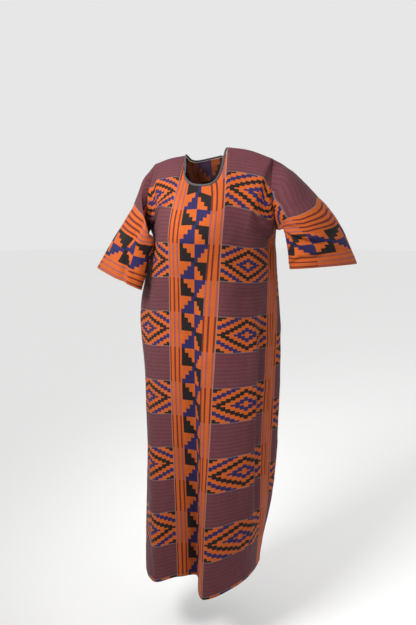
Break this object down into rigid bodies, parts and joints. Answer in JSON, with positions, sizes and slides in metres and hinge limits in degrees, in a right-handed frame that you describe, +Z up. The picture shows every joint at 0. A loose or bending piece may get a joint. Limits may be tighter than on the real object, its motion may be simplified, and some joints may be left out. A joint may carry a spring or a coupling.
{
  "type": "kitenge dress",
  "caption": "Ankle-length kitenge dress, worn and hollow: straight front and back panels, scoop neck with a narrow binding and wide set-in elbow-length sleeves.",
  "frame": {"origin": "middle of the neck opening at the height of the shoulder seams beside the neck, where the wearer's shoulders hold the dress up", "axes": "+Z up along the dress, -Y out of the chest, +X towards the wearer's left arm"},
  "size_m": [0.7591, 0.4284, 1.3395],
  "materials": {
    "front_cloth": "printed plain-weave cotton, soft matt",
    "back_cloth": "printed plain-weave cotton, soft matt",
    "sleeve_cloth": "printed plain-weave cotton, soft matt",
    "binding_cloth": "plain dark cotton, matt"
  },
  "bodies": {
    "root": {"front": "front_cloth", "back": "back_cloth", "sleeve_right": "sleeve_cloth", "sleeve_left": "sleeve_cloth", "neck_binding": "binding_cloth"}
  },
  "joints": []
}
